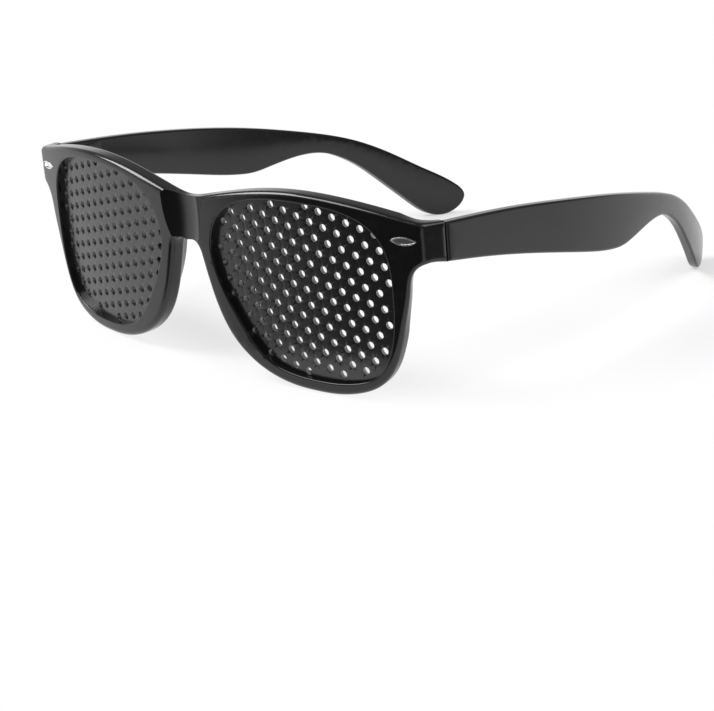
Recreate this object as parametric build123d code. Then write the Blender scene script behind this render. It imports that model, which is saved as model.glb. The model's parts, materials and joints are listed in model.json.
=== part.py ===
from build123d import *
import os
from math import atan2, cos, degrees, pi, radians, sin, sqrt

# Pinhole glasses: a wrapped one-piece front with two perforated lens plates, two temples that fold
# on screwed hinges, and a small pointed-oval inlay at each end of the brow.
#
# Millimetres. X runs to the viewer's right, Y from the front towards the ears, Z up.
# The pieces are drawn with the front upright, the lowest point of the rims at height zero and the
# middle of the bridge's face at the origin. At the end the whole is leaned a little, so that it
# stands on its rims and on its ear tips, and is centred over the origin.
# Sizes that share a name with a piece belong to that piece, and fits follow from named clearances.

# Front: outline, wrap and thickness
half_width = 72.0
front_height = 50.1
wrap_radius = 240.0
front_thickness = 4.8
front_bevel = 1.0
rear_bevel = 1.0
corner_round = 2.6
end_flare = 1.8
end_depth = 17.4
end_thickness = 3.2
back_round = 2.0

# The outline's points as shares of half_width and front_height, from the middle outwards
brow_shares = [(0, 0.886), (0.11, 0.911), (0.22, 0.946), (0.36, 0.98), (0.53, 0.995), (0.69, 0.981),
               (0.85, 0.947), (1.0, 0.911), (1.05, 0.898)]
rim_shares = [(1.05, 0.702), (0.99, 0.697), (0.96, 0.661), (0.941, 0.56), (0.92, 0.432), (0.9, 0.32),
              (0.877, 0.216), (0.845, 0.132), (0.801, 0.072), (0.722, 0.023), (0.63, 0.001), (0.556, 0),
              (0.489, 0.005), (0.33, 0.062), (0.192, 0.206), (0.13, 0.357), (0.1, 0.48), (0.08, 0.58),
              (0.071, 0.636)]
arch_share = 0.66
arch_round = 2.0

# Lens window in each rim, and the groove that holds the lens plate
window_x = 36.7
window_z = 25.2
window_width = 54.2
window_height = 44.7
lip_depth = 1.7
groove_reach = 1.1
lens_thickness = 1.8
lens_clearance = 0.05
window_shares = [(0.985, 0.12), (0.945, 0.54), (0.83, 0.77), (0.6, 0.925), (0.15, 1.0), (-0.45, 0.965),
                 (-0.86, 0.735), (-1.0, 0.36), (-0.93, -0.02), (-0.72, -0.45), (-0.42, -0.84), (0.1, -0.985),
                 (0.55, -0.95), (0.8, -0.815), (0.93, -0.53)]

# Pinholes: a hexagonal pattern of tapered holes, wide at the front
hole_pitch = 4.0
hole_front = 2.5
hole_back = 1.9
hole_angle = 45.0
hole_sides = 6
hole_land = 0.35
pattern_x = 38.6
pattern_z = 25.6

# Bridge scoop: a barrel-shaped hollow with its widest place at scoop_z
scoop_half_width = 8.0
scoop_depth = 2.2
scoop_z = 44.0
scoop_half_height = 14.0

# Nose pads: wings behind the rims beside the nose
pad_wall = 1.7
pad_root = 3.6
pad_inset = 0.4
pad_start = 2.6
pad_flare = 3.8
pad_depth = 9.6
pad_top = 33.0
pad_height = 27.0
pad_z_shares = [0, 0.24, 0.48, 0.74, 1.0]
pad_x_shares = [0.077, 0.1, 0.128, 0.178, 0.262]
pad_flare_shares = [0.85, 1.0, 1.1, 1.15, 0.9]
pad_depth_shares = [0.93, 1.0, 0.98, 0.86, 0.6]

# Emblem inlays
emblem_x = 67.2
emblem_z = 41.2
emblem_length = 6.9
emblem_height = 2.1
emblem_sunk = 0.7
emblem_proud = 0.12
emblem_rim = 0.32
emblem_dish = 0.3
emblem_clearance = 0.03

# Hinge: three ears on the front, two tongues on the temple, and a screw as the pin
hinge_x = 67.2
hinge_z = 39.6
hinge_gap = 0.3
ear_radius = 2.4
ear_height = 1.2
ear_slot = 0.12
top_ear_height = 1.8
block_width = 4.4
block_offset = 0.7
block_height = 7.4
block_sunk = 1.6
block_clearance = 0.04
screw_diameter = 1.5
screw_clearance = 0.04
screw_head_diameter = 2.6
screw_head_height = 0.8
screw_end = 0.3
slot_width = 0.4
slot_depth = 0.45
plate_start = 3.4
plate_length = 9.0
plate_height = 6.0
plate_sunk = 0.9
plate_proud = 1.1

# Temples: outline from the side as shares of the length and the drop, plan as line and arc
temple_length = 136.0
temple_top = 44.6
temple_drop = 51.0
temple_thickness = 3.6
straight_length = 40.0
bend_radius = 182.0
bend_angle = 36.0
temple_bevel = 0.7
top_shares = [(0, 0), (0.17, -0.051), (0.33, -0.12), (0.49, -0.208), (0.63, -0.308), (0.74, -0.408),
              (0.825, -0.53), (0.9, -0.667), (0.964, -0.793)]
tip_shares = [(0.983, -0.87), (0.965, -0.955)]
under_shares = [(0.925, -0.982), (0.87, -0.88), (0.808, -0.712), (0.748, -0.567), (0.714, -0.508),
                (0.68, -0.466), (0.635, -0.446), (0.585, -0.452)]
heel_shares = [(0.53, -0.472), (0.495, -0.48), (0.46, -0.471), (0.35, -0.402), (0.219, -0.31),
               (0.098, -0.236), (0, -0.187)]

# The temple's outer face carries on from the end piece
temple_side = half_width + end_flare - temple_thickness / 2

# How far cutters run past what they cut, and how near a corner lies to the size that it is picked by
overrun = 10.0
near = 1.0


def wrap_y(x, depth=0):
    """The Y of the front's wrapped surface at x, for a depth behind the face."""
    return wrap_radius - sqrt((wrap_radius - depth) ** 2 - x ** 2)


def scaled(shares, width, height, x=0, z=0):
    """Points in the XZ plane from shares of a width and a height, about (x, z)."""
    return [(x + width * a, 0, z + height * b) for a, b in shares]


def reach_back(face):
    """A prism from a face in the XZ plane that runs through the whole depth of the front."""
    return extrude(Pos(0, -overrun, 0) * face, amount=end_depth + 2 * overrun, dir=(0, 1, 0))


def shell(outer_depth, inner_depth):
    """The wrapped layer of the front between two depths behind its face."""
    tall = front_height + 2 * overrun
    ring = Cylinder(wrap_radius - outer_depth, tall) - Cylinder(wrap_radius - inner_depth, tall)
    return Pos(0, wrap_radius, front_height / 2) * ring


def on_right(piece):
    """The piece and its mirror image, with the names left and right."""
    return {"right": piece, "left": mirror(piece, about=Plane.YZ)}


def front_outline():
    """The face of the front seen square on."""
    brow = Spline(*scaled(brow_shares, half_width, front_height), tangents=[(1, 0, 0), (1, 0, -0.4)])
    rim = Spline(*scaled(rim_shares, half_width, front_height))
    half = Curve() + [brow, Line(brow @ 1, rim @ 0), rim]
    foot = rim @ 1
    arch = ThreePointArc(foot, (0, 0, front_height * arch_share), (-foot.X, 0, foot.Z))
    face = make_face(half.edges() + mirror(half, about=Plane.YZ).edges() + [arch])
    feet = [v for v in face.vertices() if abs(abs(v.X) - foot.X) < near and abs(v.Z - foot.Z) < near]
    return fillet(feet, arch_round)


def front_plan():
    """The face of the front seen from above: the wrap, and the ends that turn back."""
    corner = (half_width, wrap_y(half_width))
    outer = (half_width + end_flare, end_depth)
    inner = (half_width + end_flare - end_thickness, end_depth)
    x_in = half_width - end_thickness
    root = (x_in, wrap_y(x_in, front_thickness))
    side = Polyline(corner, outer, inner, root)
    middle_back = (0, front_thickness)
    face_arc = ThreePointArc((-corner[0], corner[1]), (0, 0), corner)
    back_arc = ThreePointArc((-root[0], root[1]), middle_back, root)
    plan = make_face([face_arc, back_arc] + side.edges() + mirror(side, about=Plane.YZ).edges())
    corners = [v for v in plan.vertices() if abs(abs(v.X) - corner[0]) < near and v.Y < end_depth - end_flare]
    plan = fillet(corners, corner_round)
    roots = [v for v in plan.vertices() if abs(abs(v.X) - root[0]) < near / 2 and v.Y > wrap_y(half_width)]
    return fillet(roots, back_round)


def window_face(grow=0):
    """The face of the right lens window, grown by a margin all round."""
    width = window_width / 2 + grow
    height = window_height / 2 + grow
    edge = Spline(*scaled(window_shares, width, height, window_x, window_z), periodic=True)
    return make_face(edge)


def bridge_scoop():
    """The barrel whose side hollows out the face of the bridge."""
    radius = (scoop_half_width ** 2 + scoop_depth ** 2) / (2 * scoop_depth)
    belly = (scoop_half_height ** 2 + scoop_depth ** 2) / (2 * scoop_depth)
    reach = scoop_half_height + overrun
    waist = radius - belly + sqrt(belly ** 2 - reach ** 2)
    side = ThreePointArc((waist, 0, -reach), (radius, 0, 0), (waist, 0, reach))
    half = make_face([side, Polyline((waist, 0, reach), (0, 0, reach), (0, 0, -reach), (waist, 0, -reach))])
    barrel = revolve(half, axis=Axis.Z)
    return Pos(0, scoop_depth - radius, scoop_z) * barrel


def nose_pad():
    """The right nose pad: a wing that flares back and outwards from the rim's inner edge."""
    sections = []
    rows = zip(pad_z_shares, pad_x_shares, pad_flare_shares, pad_depth_shares)
    for z_share, x_share, flare_share, depth_share in rows:
        x = half_width * x_share
        z = pad_top - pad_height * z_share
        tip_x = x + pad_flare * flare_share
        tip_y = pad_depth * depth_share
        points = [(x + pad_inset, pad_start, z), (tip_x, tip_y, z), (tip_x + pad_wall, tip_y - pad_inset, z),
                  (x + pad_root, wrap_y(x, front_thickness) - pad_inset, z)]
        sections.append(make_face(Polyline(*points, close=True)))
    return loft(sections, ruled=True)


def emblem_face(grow=0):
    """The pointed oval of an emblem, flat in the XZ plane about the origin."""
    half_length = emblem_length / 2 + grow
    half_height = emblem_height / 2 + grow
    upper = ThreePointArc((-half_length, 0, 0), (0, 0, half_height), (half_length, 0, 0))
    return make_face([upper, mirror(upper, about=Plane.XY)])


def emblem_seat():
    """Where the right emblem sits on the wrapped face, turned square to it."""
    lean = degrees(atan2(emblem_x, wrap_radius - wrap_y(emblem_x)))
    return Location((emblem_x, wrap_y(emblem_x), emblem_z), (0, 0, lean))


def emblem():
    """The right emblem: a dished metal inlay."""
    depth = emblem_sunk + emblem_proud
    body = extrude(Pos(0, -emblem_proud, 0) * emblem_face(), amount=depth, dir=(0, 1, 0))
    dish = extrude(Pos(0, -emblem_proud, 0) * emblem_face(-emblem_rim), amount=emblem_dish, dir=(0, 1, 0))
    return emblem_seat() * (body - dish)


def emblem_pocket():
    """The pocket in the front for the right emblem."""
    face = Pos(0, -overrun, 0) * emblem_face(emblem_clearance)
    return emblem_seat() * extrude(face, amount=overrun + emblem_sunk + emblem_clearance, dir=(0, 1, 0))


def hinge_levels():
    """The heights of the ears and tongues from the lowest up, as (bottom, top) pairs."""
    heights = [ear_height] * 4 + [top_ear_height]
    total = sum(heights) + ear_slot * 4
    level = hinge_z - total / 2
    pairs = []
    for height in heights:
        pairs.append((level, level + height))
        level += height + ear_slot
    return pairs


def hinge_arm(level, base):
    """A flat arm from the line between two base points to a round end at the hinge pin."""
    eye = Pos(hinge_x, end_depth) * Circle(ear_radius)
    web = make_hull(eye.edges() + [Line(*base)])
    return extrude(Pos(0, 0, level[0]) * web, amount=level[1] - level[0])


def pin_hole(bottom, top, diameter):
    """A vertical cylinder about the hinge pin."""
    return extrude(Pos(hinge_x, end_depth, bottom) * Circle(diameter / 2), amount=top - bottom)


def block_box(grow=0):
    """The root of the hinge block that is sunk in the back of the end piece."""
    right = hinge_x + block_offset
    bottom = wrap_y(right - block_width / 2, front_thickness) - block_sunk
    deep = end_depth - ear_radius - bottom + grow
    align = (Align.MAX, Align.MIN, Align.CENTER)
    box = Box(block_width + 2 * grow, deep, block_height + 2 * grow, align=align)
    return Pos(right + grow, bottom - grow, hinge_z) * box


def front_hinge():
    """The right front hinge: the sunk block with three ears, bored for the screw."""
    levels = hinge_levels()
    y = end_depth - ear_radius
    right = hinge_x + block_offset
    base = ((right - block_width, y), (right, y))
    body = block_box()
    for level in levels[0::2]:
        body += hinge_arm(level, base)
    body -= pin_hole(levels[0][0] - overrun, levels[-1][1] + overrun, screw_diameter + 2 * screw_clearance)
    seat = levels[-1][1] - screw_head_height - screw_clearance
    return body - pin_hole(seat, levels[-1][1] + overrun, screw_head_diameter + 2 * screw_clearance)


def hinge_screw():
    """The right hinge screw: shank, flat head and a cross recess."""
    levels = hinge_levels()
    top = levels[-1][1]
    body = pin_hole(levels[0][0] + screw_end, top, screw_diameter)
    body += pin_hole(top - screw_head_height, top, screw_head_diameter)
    for turn in (0, 90):
        bar = Box(screw_head_diameter - 2 * slot_width, slot_width, 2 * slot_depth)
        body -= Pos(hinge_x, end_depth, top) * Rot(0, 0, turn) * bar
    return body


def plate_box(grow=0):
    """The plate of the temple hinge, sunk in the temple's inner face."""
    inner = temple_side - temple_thickness / 2
    deep = plate_sunk + plate_proud + 2 * grow
    box = Box(deep, plate_length + 2 * grow, plate_height + 2 * grow, align=(Align.MIN, Align.MIN, Align.CENTER))
    return Pos(inner - plate_proud - grow, end_depth + plate_start - grow, hinge_z) * box


def temple_hinge():
    """The right temple hinge: the sunk plate with two tongues, bored for the screw."""
    x = temple_side - temple_thickness / 2
    y = end_depth + plate_start
    body = plate_box()
    base = ((x - plate_proud, y + plate_proud), (x, y + plate_proud))
    for level in hinge_levels()[1::2]:
        body += hinge_arm(level, base)
    return body - pin_hole(0, front_height + overrun, screw_diameter + 2 * screw_clearance)


def temple_path(shift):
    """The edges of the temple's plan line, shifted outwards from its middle."""
    x = temple_side + shift
    y_bend = end_depth + straight_length
    first = Line((x, end_depth - overrun), (x, y_bend))
    turn = CenterArc((temple_side - bend_radius, y_bend), bend_radius + shift, 0, bend_angle)
    last = PolarLine(turn @ 1, temple_length, 90 + bend_angle)
    return [first, turn, last]


def temple_plan():
    """The face of the right temple seen from above, longer than the temple."""
    outer = temple_path(temple_thickness / 2)
    inner = temple_path(-temple_thickness / 2)
    caps = [Line(outer[0] @ 0, inner[0] @ 0), Line(outer[2] @ 1, inner[2] @ 1)]
    return make_face(outer + inner + caps)


def temple_outline():
    """The face of the temple seen from the side."""
    y = end_depth + hinge_gap
    shares = top_shares + tip_shares + under_shares + heel_shares
    edge = Spline(*[(0, y + temple_length * a, temple_top + temple_drop * b) for a, b in shares])
    return make_face([edge, Line(edge @ 1, edge @ 0)])


def temple():
    """The right temple with the pocket for its hinge plate."""
    body = extrude(temple_plan(), amount=2 * front_height + overrun)
    body = Pos(0, 0, -front_height) * body
    wide = half_width + overrun
    body &= extrude(temple_outline(), amount=wide, dir=(1, 0, 0))
    long_edges = [e for e in body.edges() if e.length > straight_length - near]
    return chamfer(long_edges, temple_bevel) - plate_box(block_clearance)


def wrap_reach(edge):
    """How far the middle of an edge lies from the axis of the wrap."""
    middle = edge @ 0.5
    return sqrt(middle.X ** 2 + (wrap_radius - middle.Y) ** 2)


def front_blank():
    """The front before its cuts: the wrapped outline with its edges bevelled."""
    body = extrude(Pos(0, 0, -overrun) * front_plan(), amount=front_height + 2 * overrun)
    body &= reach_back(front_outline())
    rims = [e for e in body.edges() if e.geom_type != GeomType.LINE and (e @ 0.5).Y < end_depth - near / 2]
    face_edges = [e for e in rims if wrap_reach(e) > wrap_radius - near or abs((e @ 0.5).X) > half_width]
    body = chamfer(face_edges, front_bevel)
    reach = wrap_radius - front_thickness
    rims = [e for e in body.edges() if e.geom_type != GeomType.LINE and (e @ 0.5).Y < end_depth - near / 2]
    back_edges = [e for e in rims if wrap_reach(e) < reach + near / 9 and abs((e @ 0.5).X) < half_width]
    return chamfer(back_edges, rear_bevel)


def front_frame():
    """The front moulding: rims, bridge, nose pads and end pieces, with its pockets."""
    body = front_blank()
    pads = on_right(nose_pad())
    body += [pads["right"], pads["left"]]
    body -= bridge_scoop()
    window = reach_back(window_face())
    groove = reach_back(window_face(groove_reach)) & shell(lip_depth, lip_depth + lens_thickness + 2 * lens_clearance)
    for cutter in (window, groove, emblem_pocket(), block_box(block_clearance)):
        pair = on_right(cutter)
        body -= [pair["right"], pair["left"]]
    return body


def pinhole_places():
    """The places of the pinholes of the right lens as (distance round the wrap, height)."""
    rows = int(window_width / hole_pitch) + 2
    a = radians(hole_angle)
    places = []
    for i in range(-rows, rows + 1):
        for j in range(-rows, rows + 1):
            u = pattern_x + hole_pitch * (i * cos(a) + j * cos(a + pi / 3))
            z = pattern_z + hole_pitch * (i * sin(a) + j * sin(a + pi / 3))
            places.append((u, z))
    return places


def pinhole(u, z):
    """One tapered pinhole cutter, square to the lens at the distance u round the wrap."""
    depth = lip_depth + lens_clearance
    lean = u / wrap_radius
    radius = wrap_radius - depth
    x = radius * sin(lean)
    y = wrap_radius - radius * cos(lean)
    wide = RegularPolygon(hole_front / 2, hole_sides)
    narrow = RegularPolygon(hole_back / 2, hole_sides)
    seat = Location((x, y, z), (0, 0, degrees(lean))) * Location((0, 0, 0), (-90, 0, 0))
    cone = loft([Pos(0, 0, -hole_land) * wide, Pos(0, 0, lens_thickness + hole_land) * narrow])
    return seat * cone


def lens():
    """The right lens plate with its pinholes."""
    front = lip_depth + lens_clearance
    plate = shell(front, front + lens_thickness)
    plate &= reach_back(window_face(groove_reach - lens_clearance))
    room = window_face(-hole_front / 4)
    cutters = []
    for u, z in pinhole_places():
        x = wrap_radius * sin(u / wrap_radius)
        if room.is_inside((x, 0, z)):
            cutters.append(pinhole(u, z))
    print("pinholes in a lens", len(cutters))
    return plate - cutters


nodes = {"front_frame": front_frame()}
for name, piece in (("lens", lens()), ("emblem", emblem()), ("front_hinge", front_hinge()),
                    ("hinge_screw", hinge_screw()), ("temple_hinge", temple_hinge()), ("temple", temple())):
    for side, shape in on_right(piece).items():
        nodes[side + "_" + name] = shape

# Lean the whole so that the rims and the ear tips stand on one level, and centre it
rims = nodes["front_frame"].bounding_box()
tips = nodes["right_temple"].bounding_box()
low_rim_y = wrap_y(half_width / 2, front_thickness)
low_tip_y = end_depth + temple_length * tip_shares[-1][0]
lean = degrees(atan2(rims.min.Z - tips.min.Z, low_tip_y - low_rim_y))
leaned = {name: Rot(lean, 0, 0) * shape for name, shape in nodes.items()}
whole = Compound(children=list(leaned.values())).bounding_box()
stand = Pos(-whole.center().X, -whole.center().Y, -whole.min.Z) * Rot(lean, 0, 0)

os.makedirs("parts", exist_ok=True)
for name, shape in nodes.items():
    export_step(stand * shape, "parts/" + name + ".step")

print("size", whole.size)
print("lean", lean)
for side, x in (("right", hinge_x), ("left", -hinge_x)):
    print(side, "hinge", (stand * Pos(x, end_depth, hinge_z)).position)
print("hinge axis", (stand * Pos(0, 0, 1)).position - stand.position)
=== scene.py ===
import json
from math import asin, atan2, cos, pi, radians, sin, sqrt, tan

import bmesh
import bpy
import numpy as np
from mathutils import Matrix, Vector, geometry

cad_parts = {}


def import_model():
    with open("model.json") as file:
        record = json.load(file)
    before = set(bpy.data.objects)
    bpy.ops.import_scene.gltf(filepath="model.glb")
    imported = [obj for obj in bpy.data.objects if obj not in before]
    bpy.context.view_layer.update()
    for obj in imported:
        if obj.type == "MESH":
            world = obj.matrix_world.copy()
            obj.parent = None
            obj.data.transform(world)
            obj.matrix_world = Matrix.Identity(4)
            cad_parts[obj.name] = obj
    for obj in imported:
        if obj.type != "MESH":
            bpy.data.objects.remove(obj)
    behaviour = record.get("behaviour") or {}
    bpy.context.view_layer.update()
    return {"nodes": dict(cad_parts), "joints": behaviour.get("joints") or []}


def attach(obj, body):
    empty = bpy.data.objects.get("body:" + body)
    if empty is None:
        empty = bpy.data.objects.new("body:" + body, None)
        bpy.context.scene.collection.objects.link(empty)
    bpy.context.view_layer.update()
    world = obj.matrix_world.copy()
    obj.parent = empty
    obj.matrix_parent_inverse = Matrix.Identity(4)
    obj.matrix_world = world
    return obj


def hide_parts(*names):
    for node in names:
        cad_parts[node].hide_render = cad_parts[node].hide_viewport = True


# Pinhole glasses: finer meshes for the front, the lens plates and the temples, and materials, floor,
# light and camera for the whole.
#
# The pieces are drawn as the part's source draws them, in millimetres: upright, with the middle of the
# bridge's face at the origin, X to the viewer's right, Y towards the ears and Z up. One matrix, worked out
# from the hinge in the frame, leans them and takes them to the row frame in metres.
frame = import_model()

MM = 0.001
sides = ((1, "right"), (-1, "left"))

# Front. The shares are of the half width and the height.
half_width = 72.0
front_height = 50.1
wrap_radius = 240.0
front_thickness = 4.8
corner_round = 2.6
end_flare = 1.8
end_depth = 17.4
end_thickness = 3.2
end_top = 0.899
end_bottom = 0.701
brow_shares = [(0, 0.886), (0.11, 0.911), (0.22, 0.946), (0.36, 0.98), (0.53, 0.995), (0.69, 0.981),
               (0.85, 0.947), (0.99, 0.911)]
rim_shares = [(0.985, 0.697), (0.96, 0.661), (0.941, 0.56), (0.92, 0.432), (0.9, 0.32), (0.877, 0.216),
              (0.845, 0.132), (0.801, 0.072), (0.722, 0.023), (0.63, 0.001), (0.556, 0), (0.489, 0.005),
              (0.33, 0.062), (0.192, 0.206), (0.13, 0.357), (0.1, 0.48), (0.082, 0.57), (0.074, 0.612)]
arch_share = 0.66
arch_foot = 0.052
arch_fall = 0.002

# The rounding of the rims' edges. The rear one grows below a share of the height, over a distance.
front_round = 1.4
rear_round = 1.1
rear_round_low = 1.4
low_start = 0.72
low_fade = 6.0

# How far before the corner the inside of the front leaves its arc for the end piece
inside_lead = 6.0

# Lens window and lens plate
window_x = 36.7
window_z = 25.2
window_width = 54.2
window_height = 44.7
window_round = 0.35
lip_depth = 1.7
groove_reach = 1.1
lens_thickness = 1.8
lens_clearance = 0.05
window_shares = [(0.985, 0.12), (0.945, 0.54), (0.83, 0.77), (0.6, 0.925), (0.15, 1.0), (-0.45, 0.965),
                 (-0.86, 0.735), (-1.0, 0.36), (-0.93, -0.02), (-0.72, -0.45), (-0.42, -0.84), (0.1, -0.985),
                 (0.55, -0.95), (0.8, -0.815), (0.93, -0.53)]

# Pinholes
hole_pitch = 4.0
hole_front = 1.85
hole_back = 2.75
hole_angle = 45.0
hole_round = 0.1
hole_round_middle = 0.3
pattern_x = 38.6
pattern_z = 25.6
pattern_margin = 0.625

# Bridge scoop
scoop_half_width = 8.0
scoop_depth = 2.2
scoop_z = 44.0
scoop_half_height = 14.0
scoop_overshoot = 1.4

# Nose pads
pad_wall = 1.7
pad_root = 3.6
pad_inset = 0.4
pad_round = 0.55
pad_start = 2.6
pad_flare = 3.8
pad_depth = 9.6
pad_top = 33.0
pad_height = 27.0
pad_z_shares = [0, 0.24, 0.48, 0.74, 1.0]
pad_x_shares = [0.077, 0.1, 0.128, 0.178, 0.262]
pad_flare_shares = [0.85, 1.0, 1.1, 1.15, 0.9]
pad_depth_shares = [0.93, 1.0, 0.98, 0.86, 0.6]

# Emblem, and how far before the face its pocket's cutter starts
emblem_x = 67.2
emblem_z = 41.2
emblem_length = 6.9
emblem_height = 2.1
emblem_sunk = 0.7
emblem_clearance = 0.03
cutter_lead = 3.0

# Hinge and temple
hinge_x = 67.2
hinge_z = 39.6
hinge_gap = 0.3
temple_length = 136.0
temple_top = 44.6
temple_drop = 51.0
temple_thickness = 3.6
temple_side = half_width + end_flare - temple_thickness / 2
straight_length = 40.0
bend_radius = 182.0
bend_angle = 36.0
temple_round = 0.8
temple_shares = [(0, 0), (0.17, -0.051), (0.33, -0.12), (0.49, -0.208), (0.63, -0.308), (0.74, -0.408),
                 (0.825, -0.53), (0.9, -0.667), (0.964, -0.793), (0.983, -0.87), (0.965, -0.955),
                 (0.925, -0.982), (0.87, -0.88), (0.808, -0.712), (0.748, -0.567), (0.714, -0.508),
                 (0.68, -0.466), (0.635, -0.446), (0.585, -0.452), (0.53, -0.472), (0.495, -0.48),
                 (0.46, -0.471), (0.35, -0.402), (0.219, -0.31), (0.098, -0.236), (0, -0.187)]

# The temples' faces fall away by a depth towards their edges, over a reach
crown_depth = 0.35
crown_reach = 7.0

# How finely edges and faces are divided, in millimetres and in numbers of points or steps
edge_step = 0.7
face_step = 2.4
face_row_share = 0.87
bend_step = 0.7
inside_step = 0.3
round_steps = 5
mitre_limit = 0.5
arc_points = 300
corner_points = 12
inside_points = 200
hole_sides = 20
pad_rows = 25
pad_share_step = 0.01
scoop_levels = 80
scoop_sides = 160
emblem_points = 25

# Shading: edges are sharp above an angle
sharp_angle = 32
front_sharp_angle = 24
normal_weight = 60

# Plastics: scales of the patches of gloss, the mould texture and the wear, and the depth of the texture
black = (0.006, 0.006, 0.0065)
plate_black = (0.007, 0.007, 0.0075)
hinge_black = (0.016, 0.016, 0.017)
plastic_ior = 1.5
patch_scale = 90
grain_scale = 1800
grain_depth = 0.02
wear_scale = 320
wear_range = (0.55, 0.8)
wear_gain = 1.9

# Metals: the polishing marks are long in X, and change the roughness between two shares of it
emblem_silver = (0.82, 0.82, 0.84)
screw_silver = (0.6, 0.6, 0.6)
mark_stretch = (0.15, 1, 1)
mark_strength = 0.15
mark_depth = 0.01
polish_range = (0.6, 1.5)
metal_bevel = 0.12

# Camera, in the drawn frame
camera_place = (383.7, -309.4, 180.0)
camera_azimuth = 46.39
camera_elevation = 20.24
camera_roll = -4.65
lens_length = 103.36
sensor_width = 36.0

# Table, in metres: its half size, its front and right edges, and where the shadow on it fades to white
table_reach = 3.0
table_front = 0.09
table_right = 0.125
shadow_y = 0.03
shadow_reach = 0.08
shadow_white = 0.5
paper_white = (0.93, 0.93, 0.93)
paper_roughness = 0.9
paper_gloss = 0.1

# Studio. A lamp has a name, a place, a side in metres and a power in watts. The backdrop fades along an axis
# from a start to an end, to its least brightness.
lamp_target = (0, 0, 0.02)
lamps = [("key", (-0.55, -0.3, 0.6), 0.38, 4.2),
         ("top", (-0.26, -0.42, 0.74), 0.3, 2),
         ("fill", (0.5, 0.1, 0.8), 0.6, 2.5)]
backdrop_fades = [("Y", -0.6, -0.88, 0.06), ("X", 0.72, 0.92, 0.2), ("Z", 0.12, 0.45, 0.25)]
world_light = 0.42

# The drawn frame's lean and place, from the right hinge
hinge = next(j for j in frame["joints"] if j["name"] == "right_fold")
lean = atan2(-hinge["axis"][1], hinge["axis"][2])
turned = Matrix.Rotation(lean, 4, "X")
drawn_hinge = MM * Vector((hinge_x, end_depth, hinge_z))
stand = Matrix.Translation(Vector(hinge["pos_m"]) - turned @ drawn_hinge) @ turned


def smooth_line(points, step, closed=False):
    """Points at an even step along a natural cubic spline through the given 2D points."""
    p = np.array(points, float)
    lap = 4
    if closed:
        p = np.vstack([p[-lap:], p, p[:lap + 1]])
    t = np.concatenate([[0], np.cumsum(np.hypot(*np.diff(p, axis=0).T))])
    h = np.diff(t)
    n = len(p)
    a = np.eye(n)
    b = np.zeros((n, 2))
    for i in range(1, n - 1):
        a[i, i - 1:i + 2] = h[i - 1], 2 * (h[i - 1] + h[i]), h[i]
        b[i] = 6 * ((p[i + 1] - p[i]) / h[i] - (p[i] - p[i - 1]) / h[i - 1])
    m = np.linalg.solve(a, b)
    first, last = (lap, n - 1 - lap) if closed else (0, n - 1)
    count = max(2, int((t[last] - t[first]) / step))
    u = np.linspace(t[first], t[last], count + 1)
    if closed:
        u = u[:-1]
    i = np.clip(np.searchsorted(t, u, "right") - 1, 0, n - 2)
    left = (t[i + 1] - u)[:, None]
    right = (u - t[i])[:, None]
    g = h[i][:, None]
    cubic = (m[i] * left ** 3 + m[i + 1] * right ** 3) / (6 * g)
    return cubic + (p[i] / g - m[i] * g / 6) * left + (p[i + 1] / g - m[i + 1] * g / 6) * right


def scaled(shares, width, height, x=0, z=0):
    """Points from shares of a width and a height, about (x, z)."""
    return [(x + width * a, z + height * b) for a, b in shares]


def wrap_s(x):
    """The distance round the wrapped face to x."""
    return wrap_radius * asin(x / wrap_radius)


def arc_radius(half_chord, rise):
    """The radius of an arc."""
    return (half_chord ** 2 + rise ** 2) / (2 * rise)


def circle(count):
    """Points of a unit circle."""
    return [(cos(a), sin(a)) for a in np.arange(count) * 2 * pi / count]


def inset(loop, amount):
    """A closed counter-clockwise loop moved inwards by an amount, with its corners mitred."""
    before = loop - np.roll(loop, 1, axis=0)
    after = np.roll(loop, -1, axis=0) - loop
    normals = []
    for d in (before, after):
        d = d / np.hypot(*d.T)[:, None]
        normals.append(np.stack([-d[:, 1], d[:, 0]], axis=1))
    mid = normals[0] + normals[1]
    share = np.maximum(np.sum(mid * normals[0], axis=1), mitre_limit)
    return loop + mid * (amount / share)[:, None]


def inside(points, loop):
    """Which points lie inside a closed loop."""
    x, z = points[:, 0], points[:, 1]
    hit = np.zeros(len(points), bool)
    for (x0, z0), (x1, z1) in zip(loop, np.roll(loop, -1, axis=0)):
        crosses = (z0 > z) != (z1 > z)
        reach = x0 + (z - z0) * (x1 - x0) / (z1 - z0 if z1 != z0 else 1)
        hit ^= crosses & (x < reach)
    return hit


def between(points, loops):
    """Which points lie inside the first loop and outside the others."""
    hit = inside(points, loops[0])
    for loop in loops[1:]:
        hit &= ~inside(points, loop)
    return hit


def rounded(front, rear, depth):
    """A wall's profile as (inset, depth) pairs, with its front and rear edges rounded."""
    turns = np.linspace(0, pi / 2, round_steps + 1)
    return ([(front * (1 - sin(a)), front * (1 - cos(a))) for a in turns]
            + [(rear * (1 - cos(a)), depth - rear * (1 - sin(a))) for a in turns])


def rim_wall(loop):
    """The front's outer wall: its rear edge is rounded more below the brow than along it."""
    low = np.clip((front_height * low_start - loop[:, 1]) / low_fade, 0, 1)
    rear = rear_round + (rear_round_low - rear_round) * low
    return rounded(front_round, rear, front_thickness)


def solid(name, points, faces):
    """A closed mesh object from drawn points and faces, its normals outwards."""
    mesh = bpy.data.meshes.new(name)
    mesh.from_pydata([MM * Vector(p) for p in points], [], faces)
    bm = bmesh.new()
    bm.from_mesh(mesh)
    bmesh.ops.recalc_face_normals(bm, faces=bm.faces)
    bm.to_mesh(mesh)
    bm.free()
    piece = bpy.data.objects.new(name, mesh)
    bpy.context.scene.collection.objects.link(piece)
    return piece


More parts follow.
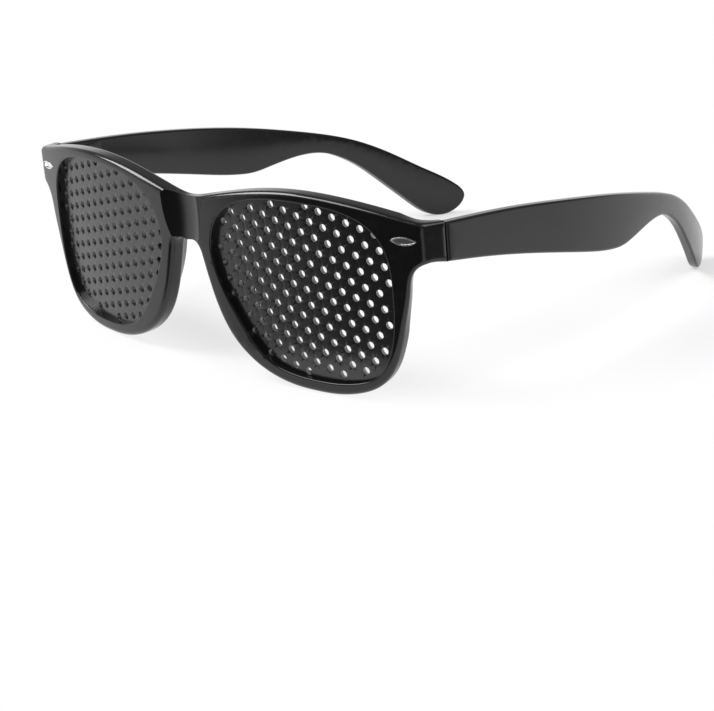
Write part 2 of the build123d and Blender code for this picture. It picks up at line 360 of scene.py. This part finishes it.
def tube(name, rings):
    """A closed solid through rings of drawn points, which all have the same number of points."""
    points = [p for ring in rings for p in ring]
    count = len(rings[0])
    faces = []
    for a in range(0, len(points) - count, count):
        b = a + count
        for i in range(count):
            j = (i + 1) % count
            faces.append((a + i, a + j, b + j, b + i))
    faces += [tuple(range(count)), tuple(range(len(points) - 1, len(points) - count - 1, -1))]
    return solid(name, points, faces)


def face_grid(loops, bends):
    """Points that divide a face inside its outline and outside its holes, set more closely in the bends."""
    low, high = loops[0].min(0), loops[0].max(0)
    grid = np.array([(s + face_step / 2 * (row % 2), z)
                     for row, z in enumerate(np.arange(low[1], high[1], face_step * face_row_share))
                     for s in np.arange(low[0], high[0], face_step)])
    for first, last in bends:
        fine = [(s, z) for s in np.arange(first, last, bend_step)
                for z in np.arange(low[1], high[1], 2 * bend_step)]
        grid = np.vstack([grid[(grid[:, 0] < first) | (grid[:, 0] > last)], fine])
    margin = face_step / 3
    return grid[between(grid, [inset(loops[0], margin)] + [inset(loop, -margin) for loop in loops[1:]])]


def filled(loops, grid):
    """Triangles of a face, as places in a list of the loops' points and then the grid's."""
    edges, start = [], 0
    for loop in loops:
        edges += [(start + i, start + (i + 1) % len(loop)) for i in range(len(loop))]
        start += len(loop)
    flat_points = [Vector(p) for p in np.vstack(loops + [grid])]
    result = geometry.delaunay_2d_cdt(flat_points, edges, [], 0, 1e-6)
    made = np.array([tuple(v) for v in result[0]])
    triangles = np.array(result[2])
    source = [ids[0] for ids in result[3]]
    keep = between(made[triangles].mean(1), loops)
    return [tuple(source[i] for i in triangle) for triangle in triangles[keep]]


def plate(name, place, rim, holes, outer_wall, hole_wall, bends=()):
    """A flat plate with holes, laid in space by place(s, depth, z).

    Walls are (inset, depth) profiles. Bends are the ranges of s in which the faces are divided finely.
    """
    points, faces, front_rings, back_rings = [], [], [], []
    for loop, wall, way in [(rim, outer_wall, 1)] + [(hole, hole_wall, -1) for hole in holes]:
        rings = []
        for amount, depth in wall:
            ring = inset(loop, way * amount)
            rings.append(range(len(points), len(points) + len(ring)))
            points += [(s, d, z) for (s, z), d in zip(ring, np.broadcast_to(depth, len(ring)))]
        for upper, lower in zip(rings, rings[1:]):
            for i in range(len(upper)):
                j = (i + 1) % len(upper)
                quad = (upper[i], upper[j], lower[j], lower[i])
                faces.append(quad if way == 1 else quad[::-1])
        front_rings.append(rings[0])
        back_rings.append(rings[-1])
    for rings, turn in ((front_rings, 1), (back_rings, -1)):
        loops = [np.array([(points[i][0], points[i][2]) for i in ring]) for ring in rings]
        depth = points[rings[0][0]][1]
        grid = face_grid(loops, bends)
        index = [i for ring in rings for i in ring] + list(range(len(points), len(points) + len(grid)))
        points += [(s, depth, z) for s, z in grid]
        faces += [tuple(index[i] for i in triangle)[::turn] for triangle in filled(loops, grid)]
    return solid(name, [place(*p) for p in points], faces)


def paths():
    """The plan lines of the right half of the front against the distance s, and where they start to bend."""
    turn_in = asin(half_width / wrap_radius)
    corner = Vector((half_width, wrap_radius - sqrt(wrap_radius ** 2 - half_width ** 2)))
    end = Vector((half_width + end_flare, end_depth))
    along = (end - corner).normalized()
    turn = atan2(along.y, along.x) - turn_in
    cut = corner_round * tan(turn / 2)
    arc_end = turn_in - cut / wrap_radius
    outer = [(wrap_radius * sin(a), wrap_radius * (1 - cos(a))) for a in np.linspace(0, arc_end, arc_points)]
    centre = Vector(outer[-1]) + corner_round * Vector((-sin(arc_end), cos(arc_end)))
    for a in np.linspace(0, turn, corner_points)[1:]:
        outer.append(tuple(centre + corner_round * Vector((sin(arc_end + a), -cos(arc_end + a)))))
    outer.append(tuple(end))
    outer = np.array(outer)
    s = np.concatenate([[0], np.cumsum(np.hypot(*np.diff(outer, axis=0).T))])
    radius = wrap_radius - front_thickness
    shared = arc_end * wrap_radius - inside_lead
    inner = [(radius * sin(a), wrap_radius - radius * cos(a))
             for a in np.linspace(0, shared / wrap_radius, inside_points)]
    marks = np.linspace(0, shared, inside_points)
    root = half_width - end_thickness
    knee = (root, wrap_radius - sqrt(radius ** 2 - root ** 2))
    last = (half_width + end_flare - end_thickness, end_depth)
    leg = smooth_line([inner[-1], knee, last], inside_step)[1:]
    leg_s = np.cumsum(np.hypot(*np.diff(np.vstack([inner[-1:], leg]), axis=0).T))
    inner = np.vstack([inner, leg])
    marks = np.concatenate([marks, shared + leg_s / leg_s[-1] * (s[-1] - shared)])
    return s, outer, marks, inner, shared


outer_s, outer_line, inner_s, inner_line, bend_s = paths()


def on_front(s, depth, z):
    """The drawn place of a point of the front: s round the plan line, and depth behind the face."""
    share = depth / front_thickness
    x, y = ((1 - share) * np.interp(abs(s), outer_s, outer_line[:, k])
            + share * np.interp(abs(s), inner_s, inner_line[:, k]) for k in (0, 1))
    return x if s >= 0 else -x, y, z


def front_rim():
    """The closed outline of the front, counter-clockwise, as (s, z)."""
    brow = [(wrap_s(x), z) for x, z in scaled(brow_shares, half_width, front_height)]
    rim = [(wrap_s(x), z) for x, z in scaled(rim_shares, half_width, front_height)]
    end_s = outer_s[-1]
    top = smooth_line([(-s, z) for s, z in brow[:0:-1]] + brow + [(end_s, end_top * front_height)], edge_step)
    top = top[top[:, 0] >= 0]
    low = smooth_line([(end_s, end_bottom * front_height)] + rim, edge_step)
    arch_top = (0, front_height * arch_share)
    foot = (half_width * arch_foot, front_height * (arch_share - arch_fall))
    arch = smooth_line([tuple(low[-3]), tuple(low[-1]), foot, arch_top], edge_step / 2)
    arch = arch[np.hypot(*(arch - low[-1]).T).argmin() + 1:]
    half = np.vstack([top, low, arch])
    half = half[half[:, 0] > edge_step / 4]
    other = half[::-1] * (-1, 1)
    loop = np.vstack([half, [arch_top], other, [(0, front_height * brow_shares[0][1])]])
    return loop[::-1]


def window_loop(grow=0):
    """The closed outline of the right lens window, counter-clockwise, as (s, z)."""
    points = scaled(window_shares, window_width / 2 + grow, window_height / 2 + grow, window_x, window_z)
    return smooth_line([(wrap_s(a), z) for a, z in points], edge_step, closed=True)


def both(loop):
    """A right-hand loop and its mirror image, both counter-clockwise."""
    return loop, (loop * (-1, 1))[::-1]


def pinholes(rim):
    """The centres of the pinholes of the right lens, as (s, z), on a grid of triangles."""
    rows = int(window_width / hole_pitch) + 2
    a = radians(hole_angle)
    grid = [(pattern_x + hole_pitch * (i * cos(a) + j * cos(a + pi / 3)),
             pattern_z + hole_pitch * (i * sin(a) + j * sin(a + pi / 3)))
            for i in range(-rows, rows + 1) for j in range(-rows, rows + 1)]
    grid = np.array(grid)
    return grid[inside(grid, rim)]


def lens(name, way):
    """A lens plate with pinholes that widen to the back."""
    right, left = both(window_loop(groove_reach - 2 * lens_clearance))
    centres = pinholes(window_loop(-pattern_margin)) * (way, 1)
    holes = [centre + np.array(circle(hole_sides)) * hole_front / 2 for centre in centres]
    taper = (hole_back - hole_front) / 2
    middle = hole_round * hole_round_middle
    wall = [(hole_round, 0), (middle, middle), (0, hole_round),
            (taper, lens_thickness - hole_round / 2), (taper + hole_round / 2, lens_thickness)]
    front = lip_depth + lens_clearance

    def place(s, depth, z):
        return on_front(s, depth + front, z)

    return plate(name, place, right if way == 1 else left, holes, [(0, 0), (0, lens_thickness)], wall)


def nose_pad(name, way):
    """One nose pad: a rounded wing through sections that flare back and outwards."""
    heights = np.linspace(0, 1, pad_rows)
    columns = []
    for shares in (pad_x_shares, pad_flare_shares, pad_depth_shares):
        line = smooth_line(list(zip(pad_z_shares, shares)), pad_share_step)
        columns.append(np.interp(heights, line[:, 0], line[:, 1]))
    rings = []
    for t, x_share, flare_share, depth_share in zip(heights, *columns):
        x = half_width * x_share
        z = pad_top - pad_height * t
        tip_x = x + pad_flare * flare_share
        tip_y = pad_depth * depth_share
        back = wrap_radius - sqrt((wrap_radius - front_thickness) ** 2 - x ** 2)
        corners = [Vector((x + pad_inset, pad_start)), Vector((tip_x, tip_y)),
                   Vector((tip_x + pad_wall, tip_y - pad_inset)), Vector((x + pad_root, back - pad_inset))]
        ring = []
        for i, corner in enumerate(corners):
            before, after = [corner + (near - corner).normalized() * pad_round
                             for near in (corners[i - 1], corners[i + 1 - len(corners)])]
            ring += [before, (before + after) / 4 + corner / 2, after]
        rings.append([(way * p.x, p.y, z) for p in ring])
    return tube(name, rings)


def barrel():
    """The barrel whose side hollows out the face of the bridge."""
    radius = arc_radius(scoop_half_width, scoop_depth)
    belly = arc_radius(scoop_half_height, scoop_depth)
    reach = scoop_half_height * scoop_overshoot
    rings = []
    for z in np.linspace(-reach, reach, scoop_levels):
        r = radius - belly + sqrt(belly ** 2 - z ** 2)
        rings.append([(r * x, scoop_depth - radius + r * y, scoop_z + z) for x, y in circle(scoop_sides)])
    return tube("barrel", rings)


def emblem_pocket(name, way):
    """The pointed-oval cutter for an emblem's pocket."""
    half_length = emblem_length / 2 + emblem_clearance
    half_height = emblem_height / 2 + emblem_clearance
    radius = arc_radius(half_length, half_height)
    reach = asin(half_length / radius)
    upper = [(radius * sin(a), half_height - radius * (1 - cos(a)))
             for a in np.linspace(-reach, reach, emblem_points)]
    oval = upper + [(-a, -b) for a, b in upper[1:-1]]
    slope = asin(emblem_x / wrap_radius)
    y = wrap_radius * (1 - cos(slope))
    rings = [[(way * (emblem_x + a * cos(slope) - depth * sin(slope)),
               y + a * sin(slope) + depth * cos(slope), emblem_z + b) for a, b in oval]
             for depth in (-cutter_lead, emblem_sunk + emblem_clearance)]
    return tube(name, rings)


def combine(piece, tool, operation):
    """Joins a tool to a piece or cuts it out, and removes the tool."""
    change = piece.modifiers.new(operation, "BOOLEAN")
    change.operation = operation
    change.object = tool
    change.solver = "EXACT"
    with bpy.context.temp_override(object=piece, active_object=piece):
        bpy.ops.object.modifier_apply(modifier=change.name)
    bpy.data.objects.remove(tool)


def front():
    """The front moulding, with its pads joined and its scoop and pockets cut."""
    rim = front_rim()
    end = rim[:, 0].max()
    window_wall = rounded(window_round, window_round, front_thickness)
    piece = plate("front", on_front, rim, both(window_loop()), rim_wall(rim), window_wall,
                  bends=((bend_s, end), (-end, -bend_s)))
    for way, side in sides:
        combine(piece, nose_pad("pad_" + side, way), "UNION")
    combine(piece, barrel(), "DIFFERENCE")
    for way, side in sides:
        combine(piece, emblem_pocket("pocket_" + side, way), "DIFFERENCE")
    return piece


def temple_x(y, shift):
    """The X of the right temple's plan line at y, shifted outwards from its middle."""
    start = end_depth + straight_length
    bend = radians(bend_angle)
    centre = temple_side - bend_radius
    radius = bend_radius + shift
    if y < start:
        return temple_side + shift
    if y < start + radius * sin(bend):
        return centre + sqrt(radius ** 2 - (y - start) ** 2)
    return centre + radius * cos(bend) - (y - start - radius * sin(bend)) * tan(bend)


def temple(name, way):
    """A temple, its outline laid along the bent plan line and its faces crowned."""
    y = end_depth + hinge_gap
    outline = smooth_line(scaled(temple_shares, temple_length, temple_drop, y, temple_top), edge_step)
    # Points close to the hinge end would fold over where the edges are rounded
    clear = outline[:, 0] > y + 1.5 * temple_round
    clear[[0, -1]] = True
    outline = outline[clear]

    def place(a, depth, z):
        near = min(np.hypot(*(outline - (a, z)).T).min() / crown_reach, 1)
        share = depth / temple_thickness
        share += crown_depth / temple_thickness * (1 - near) ** 2 * (1 - 2 * share)
        x = (1 - share) * temple_x(a, temple_thickness / 2) + share * temple_x(a, -temple_thickness / 2)
        return way * x, a, z

    wall = rounded(temple_round, temple_round, temple_thickness)
    return plate(name, place, outline[::-1], [], wall, wall)


def finish_mesh(piece, body, nodes, angle=sharp_angle):
    """Stands a drawn piece in the row frame, smooths its shading, ties it to its body and hides the CAD nodes it
    replaces.
    """
    piece.data.transform(stand)
    piece.data.shade_smooth()
    piece.data.set_sharp_from_angle(angle=radians(angle))
    weigh = piece.modifiers.new("normals", "WEIGHTED_NORMAL")
    weigh.keep_sharp = True
    weigh.weight = normal_weight
    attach(piece, body)
    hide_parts(*nodes)
    return piece


def nodes_of(name):
    """A new material, its node tree and its shader."""
    material = bpy.data.materials.new(name)
    material.use_nodes = True
    tree = material.node_tree
    return material, tree, tree.nodes["Principled BSDF"]


def set_inputs(node, inputs):
    """Sets a node's inputs to values, or links them to other nodes' outputs."""
    for socket, value in inputs.items():
        if isinstance(value, bpy.types.NodeSocket):
            node.id_data.links.new(value, node.inputs[socket])
        else:
            node.inputs[socket].default_value = value


def add(tree, kind, inputs):
    """A new shader node with its inputs set."""
    node = tree.nodes.new("ShaderNode" + kind)
    set_inputs(node, inputs)
    return node


def worked_out(tree, operation, a, b):
    """The result of an operation on two numbers."""
    node = add(tree, "Math", {0: a, 1: b})
    node.operation = operation
    return node.outputs[0]


def relief(tree, height, strength, depth, bevel):
    """A normal that follows a height, over edges rounded by a bevel if there is one."""
    bump = add(tree, "Bump", {"Height": height, "Strength": strength, "Distance": depth * MM})
    if bevel:
        edge = add(tree, "Bevel", {"Radius": bevel * MM})
        edge.samples = 4
        set_inputs(bump, {"Normal": edge.outputs["Normal"]})
    return bump.outputs["Normal"]


def plastic(name, colour, roughness, spread, grain, bevel=0.0, gloss_level=0.5):
    """Moulded plastic: faint mould texture, patchy gloss, and wear in small lighter spots."""
    material, tree, shader = nodes_of(name)
    place = add(tree, "TexCoord", {}).outputs["Object"]
    patches = add(tree, "TexNoise", {"Vector": place, "Scale": patch_scale, "Detail": 4})
    gloss = add(tree, "MapRange", {"Value": patches.outputs["Fac"],
                                   "To Min": roughness - spread, "To Max": roughness + spread})
    fine = add(tree, "TexNoise", {"Vector": place, "Scale": grain_scale, "Detail": 2})
    wear = add(tree, "TexNoise", {"Vector": place, "Scale": wear_scale, "Detail": 6})
    spots = add(tree, "MapRange", {"Value": wear.outputs["Fac"],
                                   "From Min": wear_range[0], "From Max": wear_range[1]})
    tint = add(tree, "Mix", {})
    tint.data_type = "RGBA"
    set_inputs(tint, {"Factor": spots.outputs["Result"], "A": (*colour, 1),
                      "B": (*[c * wear_gain for c in colour], 1)})
    set_inputs(shader, {"Base Color": tint.outputs["Result"],
                        "Roughness": gloss.outputs["Result"],
                        "Normal": relief(tree, fine.outputs["Fac"], grain, grain_depth, bevel),
                        "IOR": plastic_ior,
                        "Specular IOR Level": gloss_level})
    return material


def metal(name, colour, roughness, scale):
    """Bright metal with fine polishing marks and rounded edges."""
    material, tree, shader = nodes_of(name)
    place = add(tree, "TexCoord", {}).outputs["Object"]
    stretch = add(tree, "Mapping", {"Vector": place, "Scale": mark_stretch})
    marks = add(tree, "TexNoise", {"Vector": stretch.outputs["Vector"], "Scale": scale, "Detail": 3})
    gloss = add(tree, "MapRange", {"Value": marks.outputs["Fac"],
                                   "To Min": roughness * polish_range[0], "To Max": roughness * polish_range[1]})
    set_inputs(shader, {"Base Color": (*colour, 1),
                        "Metallic": 1,
                        "Roughness": gloss.outputs["Result"],
                        "Normal": relief(tree, marks.outputs["Fac"], mark_strength, mark_depth, metal_bevel)})
    return material


def dress(piece, material):
    """Gives a piece one material."""
    piece.data.materials.clear()
    piece.data.materials.append(material)


def seen(tree):
    """A value that is 1 for camera, glossy and transmission rays and 0 for the rest."""
    rays = add(tree, "LightPath", {}).outputs
    direct = worked_out(tree, "MAXIMUM", rays["Is Camera Ray"], rays["Is Glossy Ray"])
    return worked_out(tree, "MAXIMUM", direct, rays["Is Transmission Ray"])


def floor():
    """A white table that ends before and beside the object, and fades into the white background."""
    bpy.ops.mesh.primitive_plane_add(size=2 * table_reach)
    ground = bpy.context.object
    ground.name = "floor"
    ground.location = (table_right - table_reach, table_reach - table_front, 0)
    material, tree, shader = nodes_of("floor_paper")
    set_inputs(shader, {"Base Color": (*paper_white, 1), "Roughness": paper_roughness,
                        "Specular IOR Level": paper_gloss})
    place = add(tree, "NewGeometry", {}).outputs["Position"]
    fade_end = table_front + shadow_y
    squeeze = add(tree, "Mapping", {"Vector": place, "Location": (0, -shadow_y, 0),
                                    "Scale": (fade_end / table_right, 1, 1)})
    far = add(tree, "VectorMath", {0: squeeze.outputs["Vector"]})
    far.operation = "LENGTH"
    fade = add(tree, "MapRange", {"Value": far.outputs["Value"], "From Min": shadow_reach,
                                  "From Max": fade_end, "To Min": shadow_white})
    fade.interpolation_type = "SMOOTHSTEP"
    share = worked_out(tree, "MULTIPLY", fade.outputs["Result"], seen(tree))
    white = add(tree, "Emission", {})
    mix = add(tree, "MixShader", {"Fac": share, 1: shader.outputs["BSDF"], 2: white.outputs["Emission"]})
    set_inputs(tree.nodes["Material Output"], {"Surface": mix.outputs["Shader"]})
    dress(ground, material)


def light(name, place, size, power):
    """A soft square lamp, aimed at the glasses."""
    lamp = bpy.data.lights.new(name, "AREA")
    lamp.shape = "SQUARE"
    lamp.size = size
    lamp.energy = power
    holder = bpy.data.objects.new(name, lamp)
    holder.location = place
    holder.rotation_euler = (Vector(lamp_target) - Vector(place)).to_track_quat("-Z", "Y").to_euler()
    holder.visible_camera = False
    bpy.context.scene.collection.objects.link(holder)


def world():
    """A studio: white to the camera, and a white backdrop that is dim overhead, in front and at the right."""
    sky = bpy.data.worlds.new("studio")
    sky.use_nodes = True
    bpy.context.scene.world = sky
    tree = sky.node_tree
    place = add(tree, "TexCoord", {}).outputs["Generated"]
    parts = add(tree, "SeparateXYZ", {"Vector": place}).outputs
    shade = 1
    for axis, start, end, least in backdrop_fades:
        fade = add(tree, "MapRange", {"Value": parts[axis], "From Min": start, "From Max": end,
                                      "To Min": 1, "To Max": least})
        fade.interpolation_type = "SMOOTHSTEP"
        shade = worked_out(tree, "MULTIPLY", shade, fade.outputs["Result"])
    as_light = add(tree, "Mix", {"Factor": seen(tree), "A": world_light, "B": shade})
    rays = add(tree, "LightPath", {}).outputs
    strength = worked_out(tree, "MAXIMUM", as_light.outputs["Result"], rays["Is Camera Ray"])
    set_inputs(tree.nodes["Background"], {"Color": (1, 1, 1, 1), "Strength": strength})


def camera():
    """The camera at the photograph's viewpoint."""
    a, e, r = radians(camera_azimuth), radians(camera_elevation), radians(camera_roll)
    ahead = Vector((-sin(a) * cos(e), cos(a) * cos(e), -sin(e)))
    level = Vector((cos(a), sin(a), 0))
    above = level.cross(ahead)
    right = cos(r) * level + sin(r) * above
    up = cos(r) * above - sin(r) * level
    turn = Matrix((right, up, -ahead)).transposed().to_4x4()
    view = bpy.data.cameras.new("camera")
    view.lens = lens_length
    view.sensor_width = sensor_width
    holder = bpy.data.objects.new("camera", view)
    holder.matrix_world = stand @ Matrix.Translation(MM * Vector(camera_place)) @ turn
    bpy.context.scene.collection.objects.link(holder)
    bpy.context.scene.camera = holder


frame_plastic = plastic("frame_plastic", black, roughness=0.14, spread=0.03, grain=0.015)
lens_plastic = plastic("lens_plastic", plate_black, roughness=0.24, spread=0.05, grain=0.14, gloss_level=0.8)
temple_plastic = plastic("temple_plastic", black, roughness=0.2, spread=0.04, grain=0.015)
hinge_plastic = plastic("hinge_plastic", hinge_black, roughness=0.28, spread=0.05, grain=0.2, bevel=0.18)
emblem_metal = metal("emblem_metal", emblem_silver, roughness=0.1, scale=900)
screw_metal = metal("screw_metal", screw_silver, roughness=0.25, scale=1400)

dress(finish_mesh(front(), "front", ["front_frame"], angle=front_sharp_angle), frame_plastic)
for way, side in sides:
    pierced = finish_mesh(lens("pinhole_plate_" + side, way), "front", [side + "_lens"])
    dress(pierced, lens_plastic)
    arm = finish_mesh(temple("temple_" + side, way), side + "_arm", [side + "_temple"])
    dress(arm, temple_plastic)
    for kind, material in (("_front_hinge", hinge_plastic), ("_temple_hinge", hinge_plastic),
                           ("_hinge_screw", screw_metal), ("_emblem", emblem_metal)):
        node = frame["nodes"][side + kind]
        node.data.shade_smooth()
        dress(node, material)

floor()
world()
for name, place, size, power in lamps:
    light(name, place, size, power)
camera()

scene = bpy.context.scene
scene.view_settings.view_transform = "Standard"
